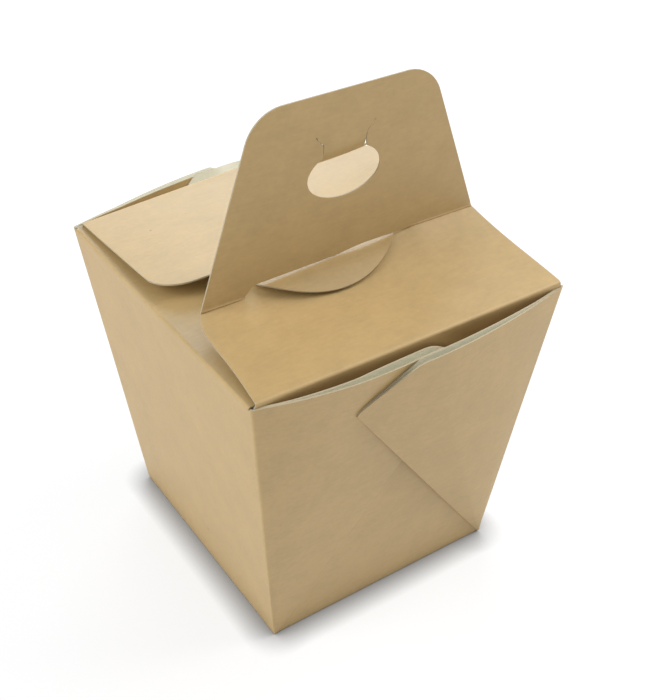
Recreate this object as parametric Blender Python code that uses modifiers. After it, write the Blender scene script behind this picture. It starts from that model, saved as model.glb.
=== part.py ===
"""A noodle takeaway box: one blank of kraft board, folded up and shut, with a carrying handle.

The carton is a single folded piece, so it is modelled as a single solid. A tapered core stands
for the shut carton up to its two side dust flaps. Sheets of board are joined to the core:

- the front lid, from its fold at the end panel back to the crease at the handle's foot;
- the handle, an upright plate with a finger hole and the hole's flap folded back;
- the rear lid, whose tongue passes under the handle's foot and lies on the front lid;
- four corner webs, each folded double on its diagonal and bowed out from an end panel.

X runs along the lid folds, Y from the front end panel to the rear one, and Z is up. All the
dimensions are in metres and are measured from the middle of the base.
"""

import math

import bmesh
import bpy
import numpy as np
from mathutils import Vector

BOARD = 0.00045  # thickness of the board

# Tapered body: half sizes of the base and of the top rim, and the height of the rim.
BASE_HALF_X = 0.0395
BASE_HALF_Y = 0.0414
TOP_HALF_X = 0.0500
TOP_HALF_Y = 0.0521
RIM_Z = 0.0973
FLAP_SAG = 0.0015  # how far the side dust flaps dip towards the middle

# Front lid: its fold stands above the rim, and its right side springs up more than its left.
LID_FOLD_HALF_X = 0.0486
LID_FOLD_BULGE = 0.0004
LID_FOLD_LEFT_Z = 0.0987
LID_FOLD_RIGHT_Z = 0.0990
LIP_DEPTH = 0.006  # how far the lid's sheet runs down inside the end panel
LID_LEFT_EASE = 0.0018  # the left edge draws in by this soon after the fold,
LID_LEFT_FLARE = 0.0024  # and by this just before the crease

# Handle: an upright plate on the plane y = HANDLE_Y, with a stepped foot around the slit.
HANDLE_Y = -0.0175
CREASE_HALF_X = 0.0444
CREASE_LEFT_Z = 0.1031
CREASE_RIGHT_Z = 0.1082
HANDLE_TOP_HALF_X = 0.0270
HANDLE_TOP_LEFT_Z = 0.1538
HANDLE_TOP_RIGHT_Z = 0.1545
HANDLE_CORNER_R = 0.0115

# Slit under the handle's foot: its ends, where the cut edge levels out, and that edge's height.
SLIT_LEFT_X = -0.0323
SLIT_RISE_X = -0.0285
SLIT_LEVEL_X = -0.0030
SLIT_STEP_X = 0.0055
SLIT_RIGHT_X = 0.0240
SLIT_LEFT_Z = 0.1065
SLIT_LEVEL_Z = 0.1072

# Finger hole: an oval whose top is closed by the neck of its flap, between two short slits.
HOLE_X = -0.0005
HOLE_Z = 0.1315
HOLE_HALF_X = 0.0114
HOLE_HALF_Z = 0.0068
HOLE_TILT = math.radians(1.5)
NECK_HALF_ANGLE = math.radians(40.0)  # of the oval, from its top to each end of the neck
CURL_RISE = 0.0048
CURL_OUT = 0.0016
CURL_CUT = 0.0005
HOLE_FLAP_SWING = math.radians(86.0)  # from hanging down to almost level, pointing back

# Rear lid: its fold climbs towards the right, and its sheet rises towards the slit.
REAR_FOLD_HALF_X = 0.0475
REAR_FOLD_Y = 0.0509
REAR_FOLD_Z = 0.0982
REAR_FOLD_OUT = 0.0055
REAR_FOLD_RISE = 0.00125
REAR_LIP_DEPTH = 0.025  # the rear end panel bows outwards over this depth
REAR_PANEL_BOW = 0.003  # at the middle of the core's rear rim
REAR_LID_SLOPE = 0.0553
REAR_LID_LIFT = 0.0027
REAR_LID_TILT = 0.0453
REAR_LID_HALF_X = 0.0469
REAR_LID_FREE_Y = -0.0009
REAR_LID_CORNER_R = 0.0100
NECK_X = -0.0042
NECK_HALF_X = 0.0223
NECK_FILLET_R = 0.0050
TONGUE_DEPTH = 0.0096
TONGUE_CLEAR = 0.0008  # between the tongue's sheet and the front lid's

# Corner webs: half-webs run from a base corner to a tip on the diagonal and a rounded corner at
# mid-width. A bow is the distance from the end panel for each 100 mm from the base corner.
WEB_TIP_X = 0.0213
WEB_TIP_Z = 0.0858
WEB_OVERLAP = 0.0040
WEB_CORNER_R = 0.0045
FULL_REACH = 0.100
INNER_INSET = 0.0008

# For each half-web: the bow at its peak, the bow at the diagonal, the angle of its peak in
# degrees, and how far its edge stands above the rim at mid-width.
WEB_PROFILES = {
    "front_over_outer": (0.0070, 0.0044, 29.0, 0.0),
    "front_over_inner": (0.0051, 0.0040, 29.0, 0.0008),
    "front_under_outer": (0.0043, 0.0016, 20.0, 0.0),
    "front_under_inner": (0.0017, 0.0011, 29.0, 0.0008),
    "rear_over_outer": (0.0084, 0.0050, 27.0, 0.0014),
    "rear_over_inner": (0.0064, 0.0044, 26.0, 0.0012),
    "rear_under_outer": (0.0072, 0.0026, 18.0, 0.0018),
    "rear_under_inner": (0.0019, 0.0012, 29.0, 0.0023),
}

KRAFT_COLOUR = (0.48, 0.34, 0.19, 1.0)


def clear_scene():
    """Removes every object of the scene that the script starts in."""
    for item in list(bpy.data.objects):
        bpy.data.objects.remove(item, do_unlink=True)


def new_collection(name):
    """A new collection, linked to the scene."""
    collection = bpy.data.collections.new(name)
    bpy.context.scene.collection.children.link(collection)
    return collection


def kraft_material():
    """Plain brown kraft board."""
    material = bpy.data.materials.new("kraft_board")
    material.use_nodes = True
    shader = material.node_tree.nodes["Principled BSDF"]
    shader.inputs["Base Color"].default_value = KRAFT_COLOUR
    shader.inputs["Roughness"].default_value = 0.75
    shader.inputs["Metallic"].default_value = 0.0
    return material


def ease(value):
    """Smooth step from 0 to 1."""
    value = np.clip(value, 0.0, 1.0)
    return value * value * (3.0 - 2.0 * value)


# ---------------------------------------------------------------- outlines


def arc_at(before, corner, after, radius, steps):
    """Points of the arc that turns a path at a corner, from one tangent point to the other."""
    to_before = (before - corner).normalized()
    to_after = (after - corner).normalized()
    half = to_before.angle(to_after) / 2.0
    centre = corner + (to_before + to_after).normalized() * radius / math.sin(half)
    start = corner + to_before * radius / math.tan(half) - centre
    end = corner + to_after * radius / math.tan(half) - centre
    sweep = end.angle_signed(start)
    points = []
    for step in range(steps + 1):
        turn = sweep * step / steps
        x = start.x * math.cos(turn) - start.y * math.sin(turn)
        y = start.x * math.sin(turn) + start.y * math.cos(turn)
        points.append(centre + Vector((x, y)))
    return points


def rounded(corners, radii, steps=6):
    """An open path through flat corners, each turned by an arc of its radius; 0 is sharp."""
    corners = [Vector(corner) for corner in corners]
    path = []
    for place, (corner, radius) in enumerate(zip(corners, radii)):
        if radius == 0.0:
            path.append(corner)
        else:
            path += arc_at(corners[place - 1], corner, corners[place + 1], radius, steps)
    return path


def spaced(path, count):
    """count points at equal distances along a flat path, as an array."""
    points = np.array([tuple(point) for point in path])
    steps = np.linalg.norm(np.diff(points, axis=0), axis=1)
    travelled = np.concatenate([[0.0], np.cumsum(steps)])
    wanted = np.linspace(0.0, travelled[-1], count)
    return np.stack([np.interp(wanted, travelled, column) for column in points.T], axis=1)


# ---------------------------------------------------------------- building blocks


def add_object(name, mesh, collection, frame, material):
    """An object for a mesh, in a collection, standing in the carton's frame."""
    piece = bpy.data.objects.new(name, mesh)
    piece.parent = frame
    collection.objects.link(piece)
    mesh.materials.append(material)
    return piece


def sheet_mesh(name, points):
    """The open surface through a grid of points, rows by columns by 3."""
    rows, columns = points.shape[:2]
    index = np.arange(rows * columns).reshape(rows, columns)
    corners = (index[:-1, :-1], index[:-1, 1:], index[1:, 1:], index[1:, :-1])
    faces = np.stack(corners, axis=-1).reshape(-1, 4)
    mesh = bpy.data.meshes.new(name)
    mesh.from_pydata(points.reshape(-1, 3).tolist(), [], faces.tolist())
    return mesh


def add_sheet(name, points, collection, frame, material):
    """A sheet of board whose middle surface is the grid of points."""
    piece = add_object(name, sheet_mesh(name, points), collection, frame, material)
    board = piece.modifiers.new("board", "SOLIDIFY")
    board.thickness = BOARD
    board.offset = 0.0
    board.use_even_offset = True
    return piece


def flat_plate_mesh(name, outlines):
    """A flat plate of board from closed outlines, the second one a hole; it stands on X and Z."""
    curve = bpy.data.curves.new(name, "CURVE")
    curve.dimensions = "2D"
    curve.fill_mode = "BOTH"
    curve.extrude = BOARD / 2.0
    for outline in outlines:
        spline = curve.splines.new("POLY")
        spline.points.add(len(outline) - 1)
        for point, place in zip(spline.points, outline):
            point.co = (place[0], place[1], 0.0, 1.0)
        spline.use_cyclic_u = True
    holder = bpy.data.objects.new(name + "_outline", curve)
    holder.rotation_euler.x = math.pi / 2.0
    bpy.context.scene.collection.objects.link(holder)
    bpy.context.view_layer.update()
    graph = bpy.context.evaluated_depsgraph_get()
    mesh = bpy.data.meshes.new_from_object(holder.evaluated_get(graph))
    mesh.transform(holder.matrix_world)
    bpy.data.objects.remove(holder, do_unlink=True)
    weld(mesh)
    return mesh


def weld(mesh):
    """Joins a mesh's loose caps to its walls and turns its faces outwards."""
    work = bmesh.new()
    work.from_mesh(mesh)
    bmesh.ops.remove_doubles(work, verts=work.verts, dist=0.000001)
    bmesh.ops.recalc_face_normals(work, faces=work.faces)
    work.to_mesh(mesh)
    work.free()


# ---------------------------------------------------------------- body


def core_mesh():
    """The tapered body, from a cube, with its top dipping along the middle as the flaps do."""
    work = bmesh.new()
    bmesh.ops.create_cube(work, size=2.0)
    for corner in work.verts:
        top = corner.co.z > 0.0
        corner.co.x *= TOP_HALF_X if top else BASE_HALF_X
        corner.co.y *= TOP_HALF_Y if top else BASE_HALF_Y
        corner.co.z = RIM_Z if top else 0.0
    everything = work.verts[:] + work.edges[:] + work.faces[:]
    bmesh.ops.bisect_plane(work, geom=everything, plane_co=(0, 0, 0), plane_no=(1, 0, 0))
    for corner in work.verts:
        if abs(corner.co.x) < BOARD and corner.co.z > BOARD:
            corner.co.z -= FLAP_SAG
            corner.co.y *= 1.0 - FLAP_SAG / RIM_Z * (1.0 - BASE_HALF_Y / TOP_HALF_Y)
            corner.co.y += REAR_PANEL_BOW if corner.co.y > 0.0 else 0.0
    mesh = bpy.data.meshes.new("noodle_box")
    work.to_mesh(mesh)
    work.free()
    return mesh


# ---------------------------------------------------------------- front lid


def front_lid_height(x, along):
    """Height of the front lid at x, from its fold (along = 0) to the handle's foot (1).

    The left and right edges climb at different rates. Between them the lid is straight across
    at the fold, and at the handle's foot it stays low until it is past the slit.
    """
    left = LID_FOLD_LEFT_Z + 0.0024 * along + 0.0020 * along**5
    right = LID_FOLD_RIGHT_Z + 0.0053 * along + 0.0039 * along**3
    straight = (x + LID_FOLD_HALF_X) / (2.0 * LID_FOLD_HALF_X)
    past_slit = np.clip((x - SLIT_LEFT_X) / (SLIT_RIGHT_X - SLIT_LEFT_X), 0.0, 1.0) ** 2.2
    share = (1.0 - along**2) * straight + along**2 * past_slit
    return left + share * (right - left)


def front_lid_points(rows=12, columns=30):
    """Grid of the front lid, with its lip inside the end panel as the first row."""
    along = np.linspace(0.0, 1.0, rows)[:, None]
    across = np.linspace(0.0, 1.0, columns)[None, :]
    crease_y = HANDLE_Y + BOARD * 0.6
    eased = LID_LEFT_EASE * np.sin(np.minimum(along / 0.65, 1.0) * math.pi / 2.0)
    flared = LID_LEFT_FLARE * np.maximum(0.0, (along - 0.65) / 0.35) ** 3
    left_x = -LID_FOLD_HALF_X + eased + flared
    right_x = LID_FOLD_HALF_X - (LID_FOLD_HALF_X - CREASE_HALF_X) * along**2
    x = left_x + (right_x - left_x) * across
    bulge = LID_FOLD_BULGE * (1.0 - (2.0 * across - 1.0) ** 2)
    fold_y = -TOP_HALF_Y + BOARD - bulge
    y = fold_y + (crease_y - fold_y) * along
    lid = np.stack([x, y, front_lid_height(x, along)], axis=-1)
    lip = lid[:1] + np.array([0.0, 0.0012, -LIP_DEPTH])
    return np.concatenate([lip, lid])


# ---------------------------------------------------------------- handle


def hole_point(angle):
    """A point of the finger hole's oval; the angle is counted from its top, clockwise."""
    x = HOLE_HALF_X * math.sin(angle)
    z = HOLE_HALF_Z * math.cos(angle)
    turned_x = x * math.cos(HOLE_TILT) - z * math.sin(HOLE_TILT)
    turned_z = x * math.sin(HOLE_TILT) + z * math.cos(HOLE_TILT)
    return Vector((HOLE_X + turned_x, HOLE_Z + turned_z))


def hole_oval(steps=28):
    """The open part of the oval, from the neck's right end round the bottom to its left end."""
    sweep = 2.0 * (math.pi - NECK_HALF_ANGLE)
    return [hole_point(NECK_HALF_ANGLE + sweep * step / steps) for step in range(steps + 1)]


def curl(foot, side):
    """One short slit beside the neck: up from the hole and curling outwards, as a thin loop."""
    up = [foot + Vector((0.0, CURL_RISE * step / 4.0)) for step in range(1, 4)]
    tip = foot + Vector((side * CURL_OUT, CURL_RISE))
    cut = Vector((side * CURL_CUT, 0.0))
    outer = [point + cut for point in up]
    return up + [tip, tip + Vector((0.0, -CURL_CUT))] + outer[::-1]


def hole_outline():
    """The finger hole with its two slits, as one closed outline."""
    oval = hole_oval()
    right = curl(oval[0], 1.0)
    left = curl(oval[-1], -1.0)
    return oval[1:-1] + left[::-1] + [oval[-1], oval[0]] + right


def handle_outline():
    """The handle, from the left end of its crease along the foot and round the top."""
    joined = BOARD * 0.6  # the foot reaches this far into the front lid beside the slit
    foot = [
        (-CREASE_HALF_X, CREASE_LEFT_Z - joined),
        (SLIT_LEFT_X, CREASE_LEFT_Z - joined),
        (SLIT_LEFT_X, CREASE_LEFT_Z + joined),
        (SLIT_RISE_X, SLIT_LEFT_Z),
        (SLIT_LEVEL_X, SLIT_LEVEL_Z),
        (SLIT_STEP_X, CREASE_RIGHT_Z),
        (SLIT_RIGHT_X, CREASE_RIGHT_Z),
        (SLIT_RIGHT_X, CREASE_RIGHT_Z - joined),
        (CREASE_HALF_X, CREASE_RIGHT_Z - joined),
    ]
    top = [(HANDLE_TOP_HALF_X, HANDLE_TOP_RIGHT_Z), (-HANDLE_TOP_HALF_X, HANDLE_TOP_LEFT_Z)]
    corners = foot + top + foot[:1]
    radii = [0.0] * len(foot) + [HANDLE_CORNER_R] * len(top) + [0.0]
    return rounded(corners, radii, steps=10)[:-1]


def add_handle(collection, frame, material):
    """The upright handle plate with its finger hole."""
    mesh = flat_plate_mesh("handle", [handle_outline(), hole_outline()])
    piece = add_object("handle", mesh, collection, frame, material)
    piece.location.y = HANDLE_Y
    return piece


def add_hole_flap(collection, frame, material):
    """The oval cut out of the finger hole, swung back about the neck's lower edge."""
    outline = hole_oval()
    hinge = (outline[0] + outline[-1]) / 2.0
    local = [(point - hinge) for point in outline]
    local = [(point.x * 0.98, point.y + BOARD * 0.5) for point in local]
    mesh = flat_plate_mesh("hole_flap", [local])
    piece = add_object("hole_flap", mesh, collection, frame, material)
    piece.location = (hinge.x, HANDLE_Y, hinge.y)
    across = outline[0] - outline[-1]
    piece.rotation_euler = (HOLE_FLAP_SWING, -math.atan2(across.y, across.x), 0.0)
    return piece


# ---------------------------------------------------------------- rear lid


def rear_fold(x):
    """y and z of the rear lid's fold: it leans out with the panel's bow, most right of middle."""
    run = np.clip(x / REAR_FOLD_HALF_X, -1.0, 1.0)
    climb = (run + 1.0) * 0.75 - 1.3 * np.maximum(0.0, run - 0.1) ** 2
    return REAR_FOLD_Y + REAR_FOLD_OUT * climb, REAR_FOLD_Z + REAR_FOLD_RISE * climb


def rear_lid_height(x, y):
    """Height of the rear lid: it tilts up to the right and curls up towards the slit."""
    run = np.maximum(0.0, REAR_FOLD_Y - y)
    reach = REAR_FOLD_Y - HANDLE_Y
    climb = REAR_LID_SLOPE * run + REAR_LID_LIFT * (run / reach) ** 5
    fold_z = rear_fold(x)[1]
    tilted_z = REAR_FOLD_Z + REAR_LID_TILT * (x + REAR_FOLD_HALF_X)
    share = ease(run / 0.03)
    return fold_z * (1.0 - share) + tilted_z * share + climb


def tongue_height(x, y):
    """Height of the tongue: it leaves the slit and settles just above the front lid."""
    fold_y = -TOP_HALF_Y + BOARD
    along = np.clip((y - fold_y) / (HANDLE_Y - fold_y), 0.0, 1.0)
    resting = front_lid_height(x, along) + BOARD + TONGUE_CLEAR
    at_slit = rear_lid_height(x, np.full_like(y, HANDLE_Y))
    settled = ease((HANDLE_Y - y) / 0.006)
    return at_slit + settled * (resting - at_slit)


def rear_lid_edge(side):
    """One long edge of the rear lid, from its fold round its corner and neck to the tongue's tip."""
    neck = NECK_X + side * NECK_HALF_X
    corners = [
        (side * REAR_FOLD_HALF_X, 0.0530),
        (side * REAR_LID_HALF_X, REAR_LID_FREE_Y),
        (neck + side * 0.002, REAR_LID_FREE_Y - 0.0006),
        (neck, HANDLE_Y),
    ]
    edge = rounded(corners, [0.0, REAR_LID_CORNER_R, NECK_FILLET_R, 0.0])
    radius = NECK_HALF_X**2 / (2.0 * TONGUE_DEPTH) + TONGUE_DEPTH / 2.0
    centre_y = HANDLE_Y - TONGUE_DEPTH + radius
    widest = math.asin(NECK_HALF_X / radius)
    for step in range(1, 10):
        angle = widest * (1.0 - step / 10.0)
        place = (NECK_X + side * radius * math.sin(angle), centre_y - radius * math.cos(angle))
        edge.append(Vector(place))
    return edge


def rear_lid_points(rows=44, columns=12):
    """Grid of the rear lid and its tongue, with its lip inside the end panel as the first row."""
    left = spaced(rear_lid_edge(-1.0), rows)[:, None, :]
    right = spaced(rear_lid_edge(1.0), rows)[:, None, :]
    across = np.linspace(0.0, 1.0, columns)[None, :, None]
    flat = left + (right - left) * across
    x, y = flat[..., 0], flat[..., 1]
    fold_y = rear_fold(x)[0]
    y = y + (fold_y - y[:1]) * np.clip((y + 0.002) / 0.055, 0.0, 1.0)
    z = np.where(y > HANDLE_Y, rear_lid_height(x, y), tongue_height(x, y))
    lid = np.stack([x, y, z], axis=-1)
    lip = lid[:1].copy()
    panel_y = TOP_HALF_Y - (TOP_HALF_Y - BASE_HALF_Y) * REAR_LIP_DEPTH / RIM_Z
    lip[..., 1] = panel_y - 2.0 * BOARD
    lip[..., 2] = RIM_Z - REAR_LIP_DEPTH
    return np.concatenate([lip, lid])


# ---------------------------------------------------------------- corner webs


def bow(angle, peak, at_diagonal, peak_degrees, diagonal):
    """Distance of a half-web from the panel at an angle from the corner edge, per FULL_REACH."""
    peak_angle = math.radians(peak_degrees)
    rising = peak * np.sin(np.clip(angle / peak_angle, 0.0, 1.0) * math.pi / 2.0)
    beyond = np.clip((angle - peak_angle) / (diagonal - peak_angle), 0.0, 1.0)
    falling = (peak - at_diagonal) * (1.0 - np.cos(beyond * math.pi / 2.0))
    return rising - falling


def web_points(right, rear, profile, inset, columns=15, rows=5):
    """Grid of one half-web, fanned out from its base corner to its free edges.

    The rim, the rounded corner and the slanted edge are a path in the end panel's plane, u being
    the distance from the base corner towards the other side and v the distance up the panel.
    Rows are that path drawn in towards the base corner, so the half-web is part of a cone. The
    inset keeps an inner half's edges inside the board of its outer half at both folds. A rear
    half-web also stands out by the bow of the end panel behind it.
    """
    peak, at_diagonal, peak_degrees, rise = profile
    lean = math.atan2(TOP_HALF_Y - BASE_HALF_Y, RIM_Z)
    corner_top = (BASE_HALF_X - TOP_HALF_X + inset, RIM_Z / math.cos(lean))
    corner_mid = (BASE_HALF_X + WEB_OVERLAP, corner_top[1] + rise)
    tip = (BASE_HALF_X + WEB_TIP_X - inset, WEB_TIP_Z / math.cos(lean) + inset)
    edge = spaced(rounded([corner_top, corner_mid, tip], [0.0, WEB_CORNER_R, 0.0]), columns)
    u, v = edge[:, 0], edge[:, 1]
    start = math.atan2(corner_top[0], corner_top[1])
    diagonal = math.atan2(tip[0], tip[1]) - start
    angle = np.arctan2(u, v) - start
    bowed = bow(angle, peak, at_diagonal, peak_degrees, diagonal)
    shrink = np.linspace(0.02 + 11.0 * inset, 1.0, rows)[:, None]
    out = np.hypot(u, v) / FULL_REACH * bowed * shrink
    u, v = u * shrink, v * shrink
    side = 1.0 if right else -1.0
    x = side * (BASE_HALF_X - u)
    if rear:
        panel_out = np.maximum(0.0, rear_fold(x)[0] - TOP_HALF_Y)
        out = out + panel_out * (v * math.cos(lean) / RIM_Z) ** 2
    y = -(BASE_HALF_Y + v * math.sin(lean) + out * math.cos(lean))
    z = v * math.cos(lean) - out * math.sin(lean)
    return np.stack([x, -y if rear else y, np.maximum(z, BOARD)], axis=-1)


def add_webs(collection, frame, material):
    """All eight half-webs. The right web lies over the left at the front, and under at the rear."""
    webs = []
    for rear in (False, True):
        for right in (False, True):
            end = "rear" if rear else "front"
            lap = "over" if right != rear else "under"
            for layer, inset in (("outer", 0.0), ("inner", INNER_INSET)):
                profile = WEB_PROFILES[f"{end}_{lap}_{layer}"]
                points = web_points(right, rear, profile, inset)
                name = f"web_{end}_{lap}_{layer}"
                webs.append(add_sheet(name, points, collection, frame, material))
    return webs


# ---------------------------------------------------------------- assembly


def join(body, pieces, solver):
    """Unites the body with each piece by a Boolean, and keeps the pieces as hidden helpers."""
    for piece in pieces:
        piece.hide_render = True
        piece.display_type = "WIRE"
        union = body.modifiers.new("with_" + piece.name, "BOOLEAN")
        union.operation = "UNION"
        union.solver = solver
        union.object = piece


def centre_over_origin(frame, body):
    """Moves the frame so that the body's bounding box stands centred over the origin."""
    bpy.context.view_layer.update()
    graph = bpy.context.evaluated_depsgraph_get()
    corners = np.array([tuple(corner) for corner in body.evaluated_get(graph).bound_box])
    middle = (corners.min(axis=0) + corners.max(axis=0)) / 2.0
    frame.location = (-middle[0], -middle[1], 0.0)


def main():
    """Builds the carton."""
    clear_scene()
    carton = new_collection("noodle_takeaway_box")
    helpers = new_collection("joined_sheets")
    frame = bpy.data.objects.new("carton_frame", None)
    carton.objects.link(frame)
    kraft = kraft_material()
    body = add_object("noodle_box", core_mesh(), carton, frame, kraft)
    sheets = [
        add_sheet("front_lid", front_lid_points(), helpers, frame, kraft),
        add_handle(helpers, frame, kraft),
        add_hole_flap(helpers, frame, kraft),
        add_sheet("rear_lid", rear_lid_points(), helpers, frame, kraft),
    ]
    join(body, sheets, "EXACT")
    # EXACT loses the body where a web's two halves meet at a fold, so the webs use MANIFOLD.
    join(body, add_webs(helpers, frame, kraft), "MANIFOLD")
    centre_over_origin(frame, body)


main()
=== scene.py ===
"""A shut noodle takeaway box, made of one folded blank of kraft board, in a plain studio.

The blank is one continuous sheet, as the real one is. It is worked out panel by panel as grids of
points on the board's middle surface: the four walls with their folded corner webs run round the
carton as one closed band, and the base, the side dust flaps, the front lid with its handle and the
rear lid with its tongue are joined on along their folds. The sheet is welded, given the board's
thickness, and finished in three ways: kraft outside, a thin grey-green coat inside, pale cut edges.

X runs along the lid folds, Y from the front end panel to the rear one, Z up. Lengths are in metres
and are measured from the middle of the base, unless a name says otherwise.
"""

import logging
import math
from dataclasses import dataclass, field
from enum import Enum

import bmesh
import bpy
import numpy as np
from mathutils import Matrix, Vector

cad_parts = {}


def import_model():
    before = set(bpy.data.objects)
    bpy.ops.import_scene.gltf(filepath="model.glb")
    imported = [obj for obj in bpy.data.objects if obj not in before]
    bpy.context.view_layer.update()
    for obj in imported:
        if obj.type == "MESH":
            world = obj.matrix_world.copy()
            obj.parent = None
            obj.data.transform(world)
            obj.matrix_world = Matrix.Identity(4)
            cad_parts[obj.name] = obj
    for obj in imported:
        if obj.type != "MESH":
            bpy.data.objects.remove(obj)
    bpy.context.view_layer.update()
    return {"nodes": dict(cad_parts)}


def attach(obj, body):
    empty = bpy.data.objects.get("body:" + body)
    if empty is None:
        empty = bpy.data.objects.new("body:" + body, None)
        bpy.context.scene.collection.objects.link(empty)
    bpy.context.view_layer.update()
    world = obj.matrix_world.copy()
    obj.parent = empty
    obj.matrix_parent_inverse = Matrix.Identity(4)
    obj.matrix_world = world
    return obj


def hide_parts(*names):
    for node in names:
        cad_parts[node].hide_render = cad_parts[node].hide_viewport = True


Array = np.ndarray
log = logging.getLogger("noodle_box")

BOARD = 0.00045  # thickness of the board
HALF_BOARD = BOARD / 2.0


def ease(value: Array | float) -> Array:
    """Smooth step: 3v^2 - 2v^3 between 0 and 1.

    Args:
        value: where between the two ends, below 0 or above 1 outside them.

    Returns:
        The eased value, from 0 to 1.
    """
    value = np.clip(value, 0.0, 1.0)
    return value * value * (3.0 - 2.0 * value)


def turn(corner: Array, first: Array, second: Array, radius: Array | float, steps: int) -> Array:
    """The arc that rounds a square fold, touching both of the sheets that meet there.

    With c the fold's corner and a, b unit directions along the two sheets, the points are
    c + r(a + b) - r(b cos t + a sin t), for t from 0 (on the first sheet) to 90 degrees.

    Args:
        corner: the fold's sharp corners, shape (..., 3).
        first: unit direction from the corner along the sheet that the arc leaves.
        second: unit direction from the corner along the sheet that the arc joins.
        radius: radius of the arc, a number or an array of the corners' shape.
        steps: number of points.

    Returns:
        Points of shape (..., steps, 3).
    """
    angle = np.linspace(0.0, math.pi / 2.0, steps)[:, None]
    corner, first, second = (np.asarray(part)[..., None, :] for part in (corner, first, second))
    radius = np.asarray(radius)[..., None, None]
    return corner + radius * (first + second - second * np.cos(angle) - first * np.sin(angle))


def resample(path: Array, places: Array) -> Array:
    """Points of a path at fractions of its length, by linear interpolation.

    Args:
        path: points of shape (n, k).
        places: fractions from 0 to 1.

    Returns:
        Points of shape (len(places), k).
    """
    steps = np.linalg.norm(np.diff(path, axis=0), axis=1)
    travelled = np.concatenate([[0.0], np.cumsum(steps)])
    wanted = np.asarray(places) * travelled[-1]
    return np.stack([np.interp(wanted, travelled, column) for column in path.T], axis=1)


def rounded(corners: list[tuple[float, float]], radii: list[float], steps: int = 12) -> Array:
    """A flat path through corners, each turned by an arc of its radius.

    Args:
        corners: the corners in order, each (a, b).
        radii: one radius for each corner; 0 leaves it sharp.
        steps: number of points on each arc.

    Returns:
        Points of shape (n, 2).
    """
    path: list[Array] = []
    for place, (corner, radius) in enumerate(zip(corners, radii)):
        here = np.array(corner)
        if radius == 0.0:
            path.append(here[None])
            continue
        before = np.array(corners[place - 1]) - here
        after = np.array(corners[(place + 1) % len(corners)]) - here
        before, after = before / np.linalg.norm(before), after / np.linalg.norm(after)
        half = math.acos(float(np.clip(before @ after, -1.0, 1.0))) / 2.0
        middle = here + (before + after) / np.linalg.norm(before + after) * radius / math.sin(half)
        start = here + before * radius / math.tan(half) - middle
        end = here + after * radius / math.tan(half) - middle
        share = np.linspace(0.0, 1.0, steps)[:, None]
        chord = start + (end - start) * share
        path.append(middle + chord / np.linalg.norm(chord, axis=1, keepdims=True) * radius)
    return np.concatenate(path)


@dataclass
class Grid:
    """One panel of the blank: a grid of points on the board's middle surface.

    Columns run along the first axis of the surface and rows along the second, so that columns
    crossed with rows point to the kraft side. The per-point fold values are 1 on a fold, where the
    board is drawn paler, 0 away from it, and below 0 where painted shade darkens it.
    """

    points: Array
    pale_fold_and_painted_shade: Array | None = None
    closed: bool = False

    def faces(self, first: int) -> Array:
        """The grid's quads.

        Args:
            first: index of the grid's first point in the whole mesh.

        Returns:
            Corner indices of shape (n, 4).
        """
        rows, columns = self.points.shape[:2]
        index = first + np.arange(rows * columns).reshape(rows, columns)
        if self.closed:
            index = np.concatenate([index, index[:, :1]], axis=1)
        corners = (index[:-1, :-1], index[:-1, 1:], index[1:, 1:], index[1:, :-1])
        return np.stack(corners, axis=-1).reshape(-1, 4)

    def pale_fold_and_shade_values(self) -> Array:
        """Paling on folds and painted shade of each point, as one row."""
        if self.pale_fold_and_painted_shade is None:
            return np.zeros(self.points.shape[0] * self.points.shape[1])
        return np.broadcast_to(self.pale_fold_and_painted_shade, self.points.shape[:2]).reshape(-1)


# ---------------------------------------------------------------- finishes


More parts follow.
